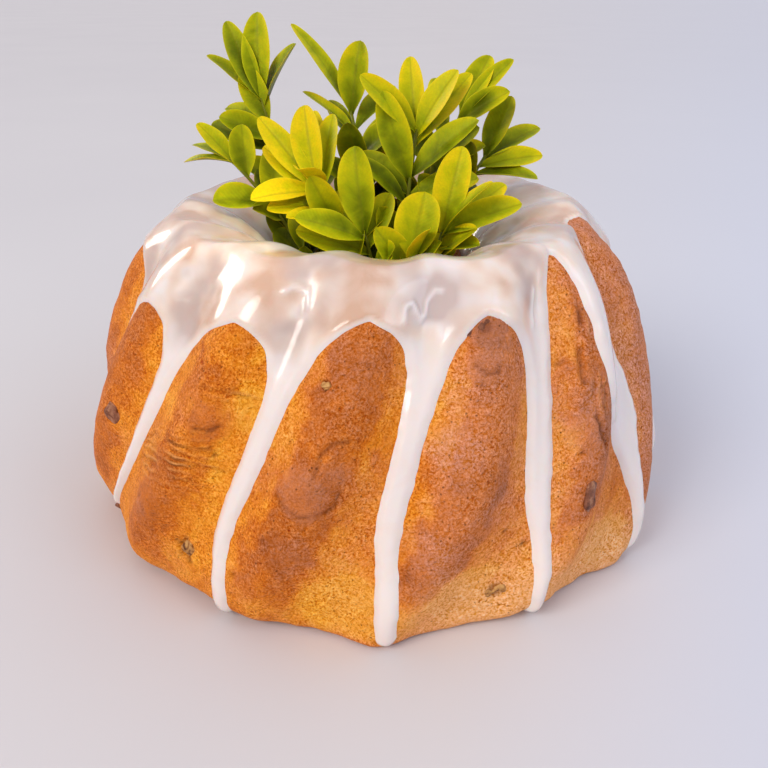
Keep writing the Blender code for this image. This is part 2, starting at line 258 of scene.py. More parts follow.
# reach, depth (mm): pits, some of them with a raisin or a nut in them
PITS = (
    (20.4, 0.845, 4.6, 1), (-8.8, 0.715, 3, 1.9), (-34.5, 0.18, 4, 1.6), (-58, 0.45, 5.2, 1.2),
    (38, 0.34, 7.2, 1.3), (20.5, 0.125, 5.6, 0.9), (-28.7, 0.48, 1.9, 1.3), (37, 0.47, 1.7, 1.2),
    (41.5, 0.2, 2, 1.3), (25.5, 0.25, 2, 1.4), (-23.8, 0.18, 1.8, 1.2), (22, 0.3, 1.3, 0.7),
    (-44, 0.3, 1.4, 0.8), (4, 0.52, 1.2, 0.6), (18, 0.71, 1.2, 0.6), (44, 0.62, 1.4, 0.8),
    (33, 0.7, 1.3, 0.7), (100, 0.33, 2, 1.3), (134, 0.22, 1.8, 1.2), (171, 0.5, 1.8, 1.2),
    (-95, 0.3, 1.9, 1.2), (-128, 0.52, 1.7, 1.1), (-160, 0.2, 2, 1.4), (113, 0.15, 3, 1),
    (-112, 0.16, 3.4, 1), (160, 0.42, 3.4, 0.9),
)
# half length, half width, spacing, height (mm), slope (degrees): folds in the skin
WRINKLES = (
    (-39, 0.44, 18, 6.6, 2.5, 0.56, 9), (-34, 0.52, 8, 3, 2.2, 0.3, 8), (-27, 0.655, 9, 1.3, 2.6, 0.4, -6),
    (46.5, 0.84, 11, 2.2, 3.6, 0.3, 82), (43, 0.6, 9, 4, 3.3, 0.24, 74), (98, 0.58, 10, 4.5, 2.6, 0.4, -8),
    (127, 0.45, 11, 5, 2.8, 0.4, 15), (-136, 0.62, 9, 4.5, 2.5, 0.4, 10),
    (168, 0.31, 10, 4.5, 2.6, 0.36, -12), (-94, 0.44, 9, 4.5, 2.4, 0.32, 6),
)
# depth (mm), darkness of the painted shade in it, then the azimuth and climb of the points along each crease
CREASES = (
    (0.9, 0.4, (-52, 0.4), (-45, 0.46), (-36, 0.505), (-32, 0.49), (-29, 0.5)),
    (0.8, 0.4, (-49, 0.37), (-39, 0.435), (-33, 0.45), (-27, 0.44)),
    (0.6, 0.3, (-44, 0.38), (-36, 0.41), (-32, 0.4)),
    (0.9, 0.9, (-32, 0.555), (-29.8, 0.55), (-27.8, 0.565)),
    (0.8, 0.5, (-31.5, 0.67), (-26, 0.66), (-20, 0.64)),
    (0.7, 0.9, (-9.4, 0.51), (-8.8, 0.555), (-7, 0.585), (-4.6, 0.592)),
    (0.9, 0.6, (-15.5, 0.44), (-14, 0.415), (-11.5, 0.402), (-8.5, 0.405), (-6.4, 0.425), (-5.8, 0.46)),
    (1.6, 0.9, (48.5, 0.96), (47.6, 0.925), (46.6, 0.89), (45.2, 0.83), (44, 0.79)),
    (1.2, 0.8, (41.6, 0.72), (40.8, 0.68), (40.4, 0.64)),
    (0.9, 0.6, (34.8, 0.7), (36.5, 0.69), (38.5, 0.7)), (1.5, 0.9, (41, 0.55), (41.8, 0.51), (42.2, 0.465)),
    (0.8, 0.5, (44.5, 0.62), (43.4, 0.58), (43.6, 0.54)),
    (0.9, 0.7, (17.6, 0.75), (19.5, 0.73), (21.5, 0.735)),
    (1, 0.9, (-36.6, 0.2), (-35.2, 0.17), (-34.2, 0.14)),
    (0.9, 0.8, (-34.6, 0.215), (-35.4, 0.18), (-36.2, 0.15)),
    (0.8, 0.6, (95, 0.6), (99, 0.56), (104, 0.57)), (0.8, 0.5, (120, 0.44), (127, 0.48), (134, 0.46)),
    (0.8, 0.7, (-143, 0.62), (-138, 0.66), (-133, 0.65)), (0.7, 0.5, (176, 0.3), (169, 0.33), (164, 0.31)),
    (0.8, 0.6, (-98, 0.42), (-92, 0.46), (-86, 0.45)),
)


def at_azimuth(azimuth, climb):
    """The point of the fluted surface in this direction, for measuring distances from."""
    climb = np.asarray(float(climb))
    return fluted_points(np.radians(azimuth - ridge_turn(climb)), climb)[0]


def axes_at(azimuth, climb):
    """Unit vectors to the right, up and out along the surface at this place."""
    right = unit(at_azimuth(azimuth + 1, climb) - at_azimuth(azimuth - 1, climb))
    out = unit(np.cross(right, at_azimuth(azimuth, climb + 0.01) - at_azimuth(azimuth, climb - 0.01)))
    return right, np.cross(out, right), out


def away_from(points, azimuth, climb):
    """Millimetres from each point to a place."""
    return np.linalg.norm(points - at_azimuth(azimuth, climb), axis=-1) / MM


def away_from_line(points, line):
    """Millimetres from each point to a line through places given by azimuth and climb."""
    gaps = []
    places = [at_azimuth(*place) for place in line]
    for start, end in zip(places, places[1:]):
        run = end - start
        share = np.clip(((points - start) @ run) / (run @ run), 0, 1)
        gaps.append(np.linalg.norm(points - start - share[..., None] * run, axis=-1))
    return np.minimum.reduce(gaps) / MM


def patch(points, place, reach, ragged, outer, inner):
    """1 on a round mark and 0 beside it: it fades between inner and outer times its reach."""
    return smooth(outer, inner, (away_from(points, *place) + ragged) / reach)


def patches(points, marks, ragged, outer, inner):
    """The sum of marks with a place, a reach and an amount."""
    return sum(amount * patch(points, place, reach, ragged, outer, inner) for *place, reach, amount in marks)


def calmed(climb):
    """1 on the cake, less down in the hole, where it is smoother."""
    return 1 - 0.7 * smooth(1.3, 1.7, climb)


def swell(points, climb):
    """The broad unevenness of the soft cake, which shows through the glaze too."""
    high = 1.0 * MM * noise(points, 40, 11) + 0.35 * MM * noise(turned(points, 0.7), 17, 12)
    return high * smooth(0.0, 0.04, climb) * calmed(climb)


def crust_marks(points, climb, azimuth):
    """Height of the crust's finer marks, and how dark the painted shade in their bottoms is."""
    high = 0.16 * noise(turned(points, 1.9), 5.5, 13) + 0.10 * noise(turned(points, 2.6), 2.6, 14)
    # rougher on the right of the front, and close to the base
    high = high + 0.30 * noise(points, 3.4, 20) * smooth(30, 40, azimuth) * smooth(0.30, 0.5, climb)
    high = high + 0.50 * noise(points, 7, 21) * smooth(0.16, 0.05, climb)
    dark = np.zeros(climb.shape)
    high = high + patches(points, BLISTERS, 2.0 * noise(points, 5, 15), 1.0, 0.55)
    # each pit's bottom, round its raisin or nut too, gets painted shade
    for *place, reach, deep in PITS:
        near = bump_at(away_from(points, *place), reach)
        high = high - deep * near
        dark = np.maximum(dark, 0.8 * smooth(0.3, 0.9, near))
    wandering = points + 0.5 * MM * noise(points, 4, 16)[..., None]
    for deep, darkness, *line in CREASES:
        gap = away_from_line(wandering, line)
        wide = 0.35 + 0.5 * deep
        high = high - deep * (bell(gap, wide) - 0.35 * bell(gap, wide + 2))
        dark = np.maximum(dark, darkness * bell(gap, 0.85 * wide))
    return high * MM * (climb > -0.5) * calmed(climb), dark


def blister_skin(points):
    """1 on the smooth skin of each blister, falling to 0 beside it."""
    ragged = 2.0 * noise(points, 6, 15)
    return [patch(points, place, reach, ragged, 1.1, 0.75) for *place, reach, _ in BLISTERS]


def wrinkles(points):
    """Height (mm) of the folds in the skin, and the phase of their waves."""
    bend = 1.5 * noise(points, 13, 17) + 0.8 * noise(points, 4.5, 18)
    broken = np.clip(0.85 + 0.9 * noise(points, 6, 22), 0.1, 1.4)
    high, phase = np.zeros(points.shape[:-1]), np.zeros(points.shape[:-1])
    for azimuth, climb, length, width, spacing, rise, slope in WRINKLES:
        right, up, out = axes_at(azimuth, climb)
        gap = (points - at_azimuth(azimuth, climb)) / MM
        turn = math.radians(slope)
        along = gap @ (right * math.cos(turn) + up * math.sin(turn))
        across = gap @ (up * math.cos(turn) - right * math.sin(turn))
        fade = np.exp(-((along / length) ** 4)) * bell(across, width) * bell(gap @ out, 14) * rise * broken
        phase = np.where(fade > high, 2 * math.pi * (across + bend) / spacing, phase)
        high = np.maximum(high, fade)
    return high, phase


def low_down(points, bottom, top):
    """1 below the bottom height (mm) and 0 above the top one, with a ragged edge between."""
    return 1 - smooth(bottom, top, points[..., 2] / MM + 5 * noise(points, 15, 50))


def ragged_outline(points):
    """How far (mm) the outlines of the coloured patches wander."""
    return 2.5 * noise(points, 7, 15) + 1.2 * noise(points, 2.5, 19)


def browning(points, climb, from_ridge, azimuth):
    """How browned the crust is: 0 pale gold, 0.5 orange, 1 dark. Its right side gets some painted shade, and
    two golden patches low on the front right are painted light.
    """
    low = low_down(points, 8, 32)
    uneven = 0.30 * noise(turned(points, 1.1), 8, 52) + 0.20 * noise(turned(points, 2.2), 2.8, 53)
    ridge = smooth(-0.10, 0.45, np.cos(FLUTES * from_ridge - 0.25) + uneven)
    left = smooth(-14, -28, azimuth) * smooth(-120, -90, azimuth)
    right = smooth(34, 48, azimuth) * smooth(140, 110, azimuth)
    # the ridges are browner than the grooves, but for the foot and the shoulder
    brown = 0.34 + (0.32 - 0.08 * left) * ridge * (1 - 0.85 * low) * (1 - 0.5 * smooth(0.78, 0.9, climb))
    # a little browner on the right side: painted shade there
    brown = brown - 0.12 * low + 0.06 * right * (1 - low)
    # a thin brown line all round the foot
    brown = brown + 0.36 * (1 - smooth(1.0 * MM, 4.0 * MM, points[..., 2]))
    brown = brown + 0.14 * noise(points, 21, 51) + 0.24 * uneven
    return brown + patches(points, TONED, ragged_outline(points), 1.15, 0.75)


def pinkness_and_cool_light(points, azimuth, skins):
    """How pink the crust is: pinker on its right side, which is painted cool light from that side, and pinker
    low down and on the blisters.
    """
    front = smooth(150, 120, azimuth)
    # more on the right side: painted cool light from that side
    pink_and_cool_light = 0.12 + (0.40 * smooth(3, 12, azimuth) + 0.42 * smooth(50, 62, azimuth)) * front
    pink_and_cool_light = pink_and_cool_light - 0.12 * smooth(-12, -30, azimuth)
    pink_and_cool_light = pink_and_cool_light + 0.25 * (1 - smooth(2 * MM, 9 * MM, points[..., 2])) * smooth(-60, 10, azimuth)
    pink_and_cool_light = pink_and_cool_light + patches(points, ROSY, ragged_outline(points), 1.2, 0.7)
    for (*_, reach, rise), skin in zip(BLISTERS, skins):
        pink_and_cool_light = pink_and_cool_light + 0.055 * rise * reach * skin
    return pink_and_cool_light + 0.22 * noise(points, 13, 54) + 0.10 * noise(turned(points, 0.4), 4, 55)


# --- building meshes ---


def add_object(name, data):
    thing = bpy.data.objects.new(name, data)
    bpy.context.scene.collection.objects.link(thing)
    return thing


def mesh_object(name, points, faces, material):
    mesh = bpy.data.meshes.new(name)
    mesh.from_pydata(points.tolist(), [], faces.tolist() if hasattr(faces, "tolist") else faces)
    mesh.materials.append(material)
    mesh.shade_smooth()
    return add_object(name, mesh)


def store(thing, name, values):
    layer = thing.data.attributes.new(name, "FLOAT", "POINT")
    layer.data.foreach_set("value", np.asarray(values, np.float32).ravel())


def grid_faces(rows, columns, closed_rows=0, closed_columns=1):
    """Quads of a grid of points, whose rows and columns may each close into a ring."""
    index = np.arange(rows * columns).reshape(rows, columns)
    index = np.pad(index, ((0, closed_rows), (0, closed_columns)), "wrap")
    return np.stack([index[:-1, :-1], index[:-1, 1:], index[1:, 1:], index[1:, :-1]], -1).reshape(-1, 4)


def join(parts):
    """Points and faces of separate parts as those of one mesh."""
    points, faces = [], []
    for part_points, part_faces in parts:
        faces += [[len(points) + corner for corner in face] for face in part_faces]
        points += part_points.tolist()
    return np.array(points), faces


def uneven_columns(back_step):
    """Angles of a grid's columns, closer together at the front."""
    angles = [0.0]
    while angles[-1] < 360:
        from_front = abs((angles[-1] + MIDDLE_SWIRL + 180) % 360 - 180)
        step = back_step + (FRONT_STEP - back_step) * (1 - smooth(*FRONT_ENDS, from_front))
        angles.append(angles[-1] + math.degrees(step / WIDEST_RADIUS))
    return np.radians(np.array(angles[:-1]) * 360 / angles[-1])


# --- crust ---

EDGE_ROWS = (0, 0.12, 0.4, 0.85, 1.4, 2.1, 2.9, 3.8)  # millimetres up the wall
FIRST_ROW = 4.8 * MM  # from here the rows are a row step apart
COVERED_CLIMB = 0.94  # from here up the glaze covers most of the crust, and rows may be far apart
COVERED_ROWS, HOLE_ROWS = 22, 9
BASE_SHARES = (0.25, 0.5, 0.75)


def crust_rows():
    """Climbs of the crust's rows from the flat base's edge to the foot of the hole."""
    return np.concatenate([
        np.array(EDGE_ROWS) * MM / WALL_LENGTH,
        np.arange(FIRST_ROW / WALL_LENGTH, COVERED_CLIMB - 0.01, CRUST_ROW_STEP / WALL_LENGTH),
        np.linspace(COVERED_CLIMB, FUNNEL_CLIMB, COVERED_ROWS, endpoint=False),
        np.linspace(FUNNEL_CLIMB, 2.0, HOLE_ROWS),
    ])


def make_crust():
    from_ridge = uneven_columns(CRUST_BACK_STEP)
    ridges, climb = np.meshgrid(from_ridge, crust_rows())
    points, azimuth = fluted_points(ridges, climb)
    # rows of flat base close the loop
    base = [points[-1] + (points[0] - points[-1]) * share for share in BASE_SHARES]
    points = np.concatenate([base, points])
    climb = np.pad(climb, ((len(base), 0), (0, 0)), constant_values=-1.0)
    azimuth = np.pad(azimuth, ((len(base), 0), (0, 0)), "edge")

    # the marks flatten out where the glaze lies over them
    bare = smooth(-0.2, -2.4, glaze_field(azimuth, climb, points)[0])
    marks, dark = crust_marks(points, climb, azimuth)
    folds, phase = wrinkles(points)
    folds = folds * bare
    skins = blister_skin(points)
    rise = swell(points, climb) + marks * bare + 0.5 * MM * folds * np.sin(phase)
    placed = points + grid_normals(points, True) * rise[..., None]
    placed[..., 2] = np.maximum(placed[..., 2], 0.0)
    faces = grid_faces(*climb.shape, 1)
    crust = mesh_object("cake_crust", placed.reshape(-1, 3), faces, crust_material())
    store(crust, "brown", browning(points, climb, from_ridge, azimuth))
    store(crust, "pink_and_cool_light", pinkness_and_cool_light(points, azimuth, skins))
    # pale: paler low on the front right, painted light reflected up from below
    store(crust, "pale", low_down(points, 10, 30) * smooth(-2, 16, azimuth) * smooth(150, 120, azimuth))
    # dark: painted shade in the bottoms of the pits and creases
    store(crust, "dark", dark * bare)
    store(crust, "skin", np.maximum.reduce(skins))
    store(crust, "fold", folds)
    store(crust, "phase", phase)
    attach(crust, "root")
    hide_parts("cake")


# --- glaze ---

GLAZE_BEAD = 1.7 * MM  # thickness of a run
GLAZE_SHEET = 1.0 * MM  # thickness on top of the cake
FAR_OUTSIDE = -50.0  # millimetres
WIDEST_RUN = 40.0  # millimetres
ROUNDED_BEND = 5.0  # degrees over which a run turns from its groove to straight down
ROUNDED_JOIN = 5.0  # millimetres over which a run widens into the sheet
FLARE_START, FLARE_SPREAD = 0.085, 0.075  # climb below the sheet's edge
INNER_EDGE = 1.36  # climb of the sheet's edge in the funnel
GLAZE_END, FUNNEL_ROWS = 1.45, 34  # climb where the glaze's grid ends, and its rows in the funnel
SKIRT = -1.6  # the field (mm) down to which the glaze's mesh goes on, hidden under the crust
# One run of glaze in each groove.  Groove 0 lies just right of the front ridge.
#   groove, degrees that it lies beside the groove's middle, azimuth where it falls straight,
#   climb of its end, half width low down and higher up (mm), how much it widens to the
#   left and right under the sheet (mm), climb of the sheet's edge on the next ridge
RUNS = (
    (-7, 0, -170, 0.34, 3.2, 3.8, 5, 5, 0.8), (-6, 0.8, -139, 0.02, 3.5, 4.4, 5, 4, 0.88),
    (-5, 0, -121, 0.16, 3, 3.8, 4, 5, 0.9), (-4, 0.5, -99, 0.02, 3.3, 4, 5, 5, 0.81),
    (-3, 0, -62.5, 0.1, 2.9, 3.9, 4.5, 5.5, 0.843), (-2, 1.2, -27.2, 0.012, 3.6, 4.2, 5, 4.8, 0.878),
    (-1, 0.9, 1.6, 0.012, 3.6, 4.3, 4.5, 4, 0.88), (0, -0.4, 28.3, 0.012, 3, 5.1, 5.6, 3, 1.03),
    (1, -3.3, 55.3, 0.03, 3.1, 9.4, 4, 1.5, 1.035), (2, 0, 82, 0.012, 3.4, 4.2, 2, 5, 0.84),
    (3, 0.6, 103, 0.22, 3, 3.6, 5, 4, 0.9), (4, 0, 131, 0.012, 3.8, 4.8, 5, 5, 0.81),
    (5, 0.9, 152, 0.02, 3.2, 4, 4, 5, 0.87), (6, 0, 180, 0.1, 3.6, 4.2, 5, 5, 0.85),
)
LEANING_RUN, LEAN = -3, 3.0  # this run leans to the left at its foot and doesn't fall straight
BROAD_RUN = 1  # the broad run on the right of the front
BROAD_LEAN = 4.5  # degrees that it leans to the left under the sheet
BROAD_EXTRA = 7.0  # millimetres more on its left
# small folds in the glaze's skin, as azimuth and climb of their points
GLAZE_FOLDS = (
    ((4.5, 0.86), (5, 0.895), (6.5, 0.9), (8, 0.85), (9.5, 0.865), (10, 0.895), (12.5, 0.92), (14, 0.92)),
    ((-20, 0.915), (-18.5, 0.925), (-14.5, 0.91), (-13.5, 0.875)), ((36, 0.885), (33.5, 0.83), (33, 0.8)),
    ((112, 0.95), (116, 0.91), (121, 0.93)), ((-120, 0.95), (-114, 0.92), (-110, 0.94)),
)


def run_path(groove, beside, straight, climb):
    """A run follows its groove from the top and then falls straight down."""
    along = (groove + 0.5) * FLUTE_DEG + ridge_turn(climb)
    along = along + beside * smooth(0.15, 0.45, climb) * (1 - smooth(0.75, 1.0, climb))
    if groove == LEANING_RUN:
        return along - LEAN * (1 - smooth(0.0, 0.4, climb))
    lean = BROAD_LEAN if groove == BROAD_RUN else 0.0
    return smooth_max(along, straight, ROUNDED_BEND) - lean * smooth(0.45, 0.9, climb)


def glaze_field(azimuth, climb, points):
    """Millimetres inside the glaze's outline, negative outside, and above the sheet's lower edge."""
    radius = profile(np.minimum(climb, 1.0))[0]
    length = WALL_LENGTH / MM
    run_up = climb * length
    wobble = noise(points, 9, 31)
    field = np.full(azimuth.shape, FAR_OUTSIDE)
    left_arch = RUNS[-1][-1]
    for groove, beside, straight, end, low, high, flare_left, flare_right, arch in RUNS:
        aside = (azimuth - run_path(groove, beside, straight, climb) + 180) % 360 - 180
        sideways = np.radians(aside) * radius / MM
        limit = np.where(aside > 0, arch, left_arch)
        flare = np.where(aside > 0, flare_right, flare_left)
        half = low + (high - low) * smooth(0.2, 0.5, climb)
        if groove == BROAD_RUN:
            left_part = smooth(0.0, -4.0, sideways) * smooth(0.4, 0.6, climb)
            narrowing = 0.45 * smooth(0.52, 0.78, climb) + 0.25 * smooth(0.8, 0.95, climb)
            half = half + BROAD_EXTRA * left_part * (1 - narrowing)
        width = half * (1 + 0.10 * wobble) + flare * np.exp((climb - limit + FLARE_START) / FLARE_SPREAD)
        below = np.maximum(end * length + half - run_up, 0)
        field = np.maximum(field, np.minimum(width, WIDEST_RUN) - np.hypot(sideways, below))
        left_arch = arch
    ridge = (azimuth - ridge_turn(climb)) / FLUTE_DEG
    edge = look_up([(run[0] + 1, run[-1]) for run in RUNS], ridge, FLUTES)
    sheet = run_up - edge * length + 0.8 * wobble
    field = smooth_max(field, sheet, ROUNDED_JOIN) + 0.35 * noise(points, 3.4, 34)
    inner = INNER_EDGE + 0.07 * noise(points, 22, 32) + 0.03 * noise(points, 9, 33)
    return np.minimum(field, inner * length - run_up), sheet


def glaze_thickness(field, sheet, points, hollow, folds):
    """Thickness of the glaze in metres from the distance inside its outline in millimetres."""
    round_edge = 1 - (1 - np.clip(field / (3.4 - 1.4 * sheet), 0, 1)) ** 2
    ripple = 0.38 * noise(points, 20, 42)
    top = blend(GLAZE_BEAD, GLAZE_SHEET * (1 + ripple + 1.3 * hollow ** 2), sheet)
    return np.where(field > 0, (top + 0.45 * MM * folds) * round_edge, field * 0.9 * MM)


def make_glaze():
    from_ridge = uneven_columns(GLAZE_BACK_STEP)
    wall = np.linspace(0.0, 1.0, int(WALL_LENGTH / GLAZE_ROW_STEP), endpoint=False)
    climbs = np.concatenate([wall, np.linspace(1.0, GLAZE_END, FUNNEL_ROWS)])
    ridges, climb = np.meshgrid(from_ridge, climbs)
    base, azimuth = fluted_points(ridges, climb)
    field, above = glaze_field(azimuth, climb, base)
    sheet, tinted = smooth(-12.0, 3.0, above), smooth(-20.0, -3.0, above)
    hollow = 0.5 - 0.5 * np.cos(FLUTES * ridges)
    folds = np.maximum.reduce([bell(away_from_line(base, fold), 0.9) for fold in GLAZE_FOLDS])
    rise = swell(base, climb) + glaze_thickness(field, sheet, base, hollow, folds)
    points = base + grid_normals(base, False) * rise[..., None]
    points[..., 2] = np.maximum(points[..., 2], 0.3 * MM)
    # only the part of the grid that the glaze covers is kept
    faces = grid_faces(*climb.shape)
    faces = faces[(field.ravel()[faces] > SKIRT).any(axis=1)]
    used, faces = np.unique(faces, return_inverse=True)
    glaze = mesh_object("sugar_glaze", points.reshape(-1, 3)[used], faces.reshape(-1, 4), glaze_material())
    # the crust shows through the sheet, most on its ridges
    show = 0.55 + 0.12 * np.cos(FLUTES * ridges) + 0.65 * noise(base, 12, 43)
    show = (show + 0.40 * noise(base, 4.5, 44)) * tinted * smooth(0.0, 2.5, field)
    # painted shade, mauve, in the glaze's hollows between the ridges
    mauve_hollow_shade = 0.80 + 1.2 * noise(base, 11, 45) + 0.5 * noise(base, 4, 46)
    mauve_hollow_shade = mauve_hollow_shade * hollow * tinted * smooth(1.25, 1.05, climb) * smooth(0.5, 3.0, field)
    store(glaze, "show", (show * smooth(1.5, 1.15, climb)).ravel()[used])
    store(glaze, "mauve_hollow_shade", np.clip(mauve_hollow_shade, 0, 1).ravel()[used])
    store(glaze, "fold", folds.ravel()[used])
    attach(glaze, "root")


# --- fruit and nuts ---

# azimuth, climb, length, width, thickness (mm), turn in the crust (degrees)
RAISINS = (
    (-58, 0.45, 8.4, 6.8, 3.2, 70), (38, 0.34, 12.5, 8, 3.6, 80), (67, 0.12, 6.4, 5, 4.4, 20),
    (-66, 0.055, 6, 5, 4.2, 30), (20, 0.852, 7.5, 4.6, 3, 40), (113, 0.15, 7, 4.6, 3.2, 40),
    (160, 0.42, 7, 5, 3.2, 110), (-112, 0.16, 7.4, 4.8, 3.2, 75),
)
NUTS = (
    (-34.5, 0.18, 6.5, 5, 3.2, 70), (-8.8, 0.715, 3.6, 2.6, 2.2, 20), (20.5, 0.125, 7.4, 7.2, 5, 10),
    (-95, 0.3, 4.2, 3, 1.8, 50), (100, 0.33, 4.4, 3.2, 2, 10), (171, 0.5, 4, 3, 1.8, 80),
)
BIT_RINGS = 24
BIT_SIDES = 36
BIT_SUNK = 0.46  # share of its thickness that a bit lies in the crust
FIRST_BIT_SEED = 300


def bit_points(shape, seed, folds):
    """A wrinkled rounded bit as a grid of points round its long axis."""
    azimuth, climb, length, width, thickness, spin = shape
    along = np.linspace(0, math.pi, BIT_RINGS)[:, None]
    around = np.linspace(0, 2 * math.pi, BIT_SIDES, endpoint=False)
    ball = np.stack(np.broadcast_arrays(
        np.cos(along), np.sin(along) * np.cos(around), np.sin(along) * np.sin(around)), axis=-1)
    uneven = 1 + folds * (noise((ball + seed) * MM, 1.1, seed) + 0.7 * noise(ball * MM, 0.45, seed))
    body = ball * uneven[..., None] * np.array([length, width, thickness]) * MM / 2
    right, up, out = axes_at(azimuth, climb)
    turn = math.radians(spin)
    ahead = right * math.cos(turn) + up * math.sin(turn)
    here = at_azimuth(azimuth, climb)
    centre = here + out * (swell(here[None], np.array([climb]))[0] - thickness * MM * BIT_SUNK)
    return (centre + body @ np.array([ahead, np.cross(out, ahead), out])).reshape(-1, 3)


def make_bits(name, shapes, folds, material):
    """Raisins or nuts that sit in pits of the crust, as one piece of closed lumps."""
    faces = grid_faces(BIT_RINGS, BIT_SIDES)
    lumps = [(bit_points(shape, FIRST_BIT_SEED + seed, folds), faces) for seed, shape in enumerate(shapes)]
    thing = mesh_object(name, *join(lumps), material)
    weld = bmesh.new()
    weld.from_mesh(thing.data)
    bmesh.ops.remove_doubles(weld, verts=weld.verts, dist=0.01 * MM)
    bmesh.ops.recalc_face_normals(weld, faces=weld.faces)
    weld.to_mesh(thing.data)
    weld.free()
    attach(thing, "root")


# --- sprigs ---

# Each sprig has the foot (x, y) and tip (x, y, z) of its stem in millimetres, as in the CAD
# part, how late the stem leans over, how golden its leaves are (0 dark green, 1 golden) and
# whether other sprigs crowd round it.  Its leaves go from the tip down: share of the way up
# the stem, azimuth, rise above level, length and width in millimetres, and how far the face
# turns to the light.  The CAD part doesn't have the last leaves of three of the sprigs, set
# apart as "more", which fill gaps in the middle of the tuft.
Sprig = namedtuple("Sprig", "name foot tip bend ripe crowded leaves more", defaults=[()])
SPRIGS = (
    Sprig("sprig_back_left", (-8, 2), (-45, 20, 150), 1.2, 0.4, True, (
        (1, -105, 84, 31, 11, 1), (0.99, -105, 65, 32, 9, 0.8), (0.98, 75, 68, 26, 9, 0.5),
        (1, -110, 42, 28, 7, 0.3), (0.94, -95, 66, 22, 10, 0.9), (0.94, -118, 20, 22, 8, 0.4),
        (0.9, -75, 28, 22, 9, 0.8), (0.87, -100, 24, 30, 9, 0.8), (0.8, 150, 38, 22, 9, 0.4),
        (0.79, -55, 34, 20, 9, 0.6),
    )),
    Sprig("sprig_far_left", (-12, -5), (-55, 0, 131), 3, 0.44, False, (
        (1, -118, 6, 24, 5, 0.2), (0.99, -128, 22, 24, 6, 0.2), (0.98, -110, 48, 22, 7, 0.4),
        (0.95, -30, 78, 19, 10, 0.9), (0.86, 0, 80, 25, 10, 0.9), (0.88, -62, 16, 21, 12, 0.5),
        (0.83, -42, 32, 14, 8, 0.5),
    )),
    Sprig("sprig_left_front", (-4, -12), (-22, -15, 124), 4, 0.73, False, (
        (1, -135, 72, 30, 11, 1), (0.98, 160, 74, 29, 9, 1), (0.99, -112, 47, 35, 9, 0.8),
        (0.98, -106, 38, 28, 9, 0.8), (0.97, -160, 66, 33, 8, 0.8), (0.99, -65, 6, 25, 10, 0.5),
        (0.99, -22, 48, 18, 10, 0.3), (0.94, -60, 14, 23, 9, 0.5), (0.9, -42, 24, 22, 7, 0.4),
    )),
    Sprig("sprig_front_left", (3, -17), (-5, -21, 109), 4, 0.48, False, (
        (1, -110, 80, 31, 13, 1), (0.98, -62, 28, 28, 10, 0.6), (0.93, -80, 24, 28, 11, 0.7),
        (0.95, 115, 72, 21, 10, 0.9), (0.89, -32, 24, 19, 9, 0.3), (0.89, 12, 28, 20, 9, 0.3),
    )),
    Sprig("sprig_back_centre", (-1, 5), (-11, 26, 145), 3.5, 0.4, True, (
        (1, -115, 61, 41, 7, 0.3), (0.99, 60, 86, 27, 12, 1), (0.94, -98, 48, 26, 7, 0.3),
        (0.92, -142, 40, 26, 7, 0.5), (0.95, 122, 50, 25, 8, 0.7), (0.88, 45, 48, 21, 11, 0.7),
        (0.8, -60, 42, 22, 9, 0.6), (0.78, 15, 52, 20, 9, 0.6),
    ), more=(
        (0.87, 78, 56, 24, 12, 0.9), (0.83, 60, 30, 22, 11, 0.8), (0.84, -35, 62, 22, 11, 0.9),
    )),
    Sprig("sprig_centre", (7, -11), (14, 1, 142), 3, 0.6, False, (
        (1, -76, 48, 28, 9, 0.7), (0.99, -150, 74, 28, 9, 0.9), (0.98, 68, 66, 27, 10, 0.8),
        (0.96, 106, 54, 33, 10, 0.8), (0.87, -72, 70, 33, 11, 0.9), (0.88, 74, 48, 32, 11, 0.7),
        (0.81, -48, 50, 28, 8, 0.5), (0.76, 70, 44, 22, 9, 0.6), (0.72, -100, 40, 20, 8, 0.6),
    ), more=(
        (0.83, 84, 24, 27, 11, 0.7), (0.84, -100, 40, 24, 10, 0.7),
    )),
    Sprig("sprig_right_back", (7, 2), (32, 20, 145), 3.5, 0.46, True, (
        (1, 114, 66, 25, 10, 0.9), (0.99, 92, 53, 29, 8, 0.7), (0.97, 70, 40, 24, 10, 0.7),
        (0.92, -165, 56, 32, 8, 0.6), (0.9, 60, 44, 18, 10, 0.7), (0.83, 20, 45, 20, 10, 0.7),
        (0.8, 150, 40, 22, 9, 0.4),
    ), more=(
        (0.88, -70, 48, 22, 11, 0.8), (0.86, 95, 32, 22, 10, 0.6),
    )),
    Sprig("sprig_right_side", (13, -4), (42, 17, 130), 3.5, 0.38, True, (
        (1, 112, 70, 25, 10, 0.9), (0.99, 112, 30, 28, 9, 0.7), (0.97, 82, 18, 25, 9, 0.6),
        (0.95, 64, 12, 25, 9, 0.3), (0.9, 10, 84, 19, 10, 0.9), (0.84, 150, 30, 22, 9, 0.4),
    )),
    Sprig("sprig_front_right", (14, -13), (23, -22, 110), 3, 0.6, False, (
        (1, 120, 80, 31, 12, 1), (0.99, 52, 62, 27, 8, 0.4), (0.98, 112, 40, 32, 10, 0.8),
        (1, 78, 30, 30, 11, 0.6), (0.94, 48, 26, 18, 8, 0.4),
    )),
    Sprig("sprig_front", (9, -18), (12, -28, 102), 3, 0.54, False, (
        (1, 60, 84, 24, 15, 1), (0.97, 24, 64, 20, 8, 0.3),
    )),
)
STEM_RADIUS = 1.0 * MM
STEM_TAPER = 0.35
STEM_ROWS = 16
STEM_SIDES = 8
FOOT_HEIGHT = 2.0 * MM
TOP_LEAF_SHARE = 0.995
LIGHT = Vector((-0.3, -0.85, 0.45)).normalized()
LEAF_ROWS = 18
LEAF_COLUMNS = 12
LEAF_WIDEST = 0.57  # share of the length where a blade is widest
